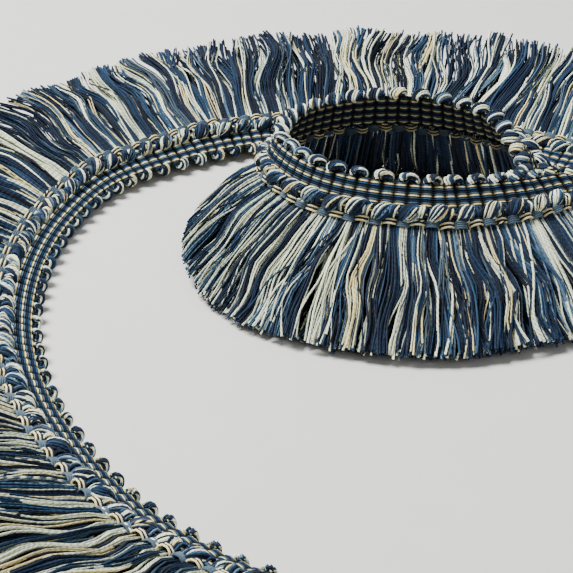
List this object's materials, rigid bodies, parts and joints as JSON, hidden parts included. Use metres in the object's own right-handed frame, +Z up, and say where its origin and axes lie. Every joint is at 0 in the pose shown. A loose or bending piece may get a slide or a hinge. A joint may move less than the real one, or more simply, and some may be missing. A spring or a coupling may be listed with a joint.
{
  "type": "brush fringe trim",
  "caption": "Cut length of brush fringe standing in one coil and curling round it: looped edge, woven band, gimp roll and a thick brush of dyed yarn.",
  "frame": {"origin": "middle of the laid fringe in plan, on the surface that it lies on", "axes": "+Z up from the surface, +Y away from the coil towards the back of the loop, +X along the open end of the loop"},
  "size_m": [0.2788, 0.3434, 0.0413],
  "materials": {
    "band": "woven, matt, navy and blue ribs with fine gold lines",
    "loops": "bundled yarn loops, matt, cream, navy and blue",
    "gimp": "wrapped yarn puffs, matt, cream, navy and blue",
    "brush": "cut 2-ply yarn, matt, navy with blue, cream and gold"
  },
  "bodies": {
    "root": {"heading_band": "band", "loop_edging": "loops", "gimp_roll": "gimp", "fringe_loop_start": "brush", "fringe_loop_near_left": "brush", "fringe_loop_left": "brush", "fringe_loop_far_left": "brush", "fringe_loop_back_left": "brush", "fringe_loop_back": "brush", "fringe_loop_back_right": "brush", "fringe_loop_turn": "brush", "fringe_loop_tail": "brush", "fringe_coil_front": "brush", "fringe_coil_left": "brush", "fringe_coil_back": "brush", "fringe_coil_right": "brush", "inner_brush": "brush"}
  },
  "joints": []
}
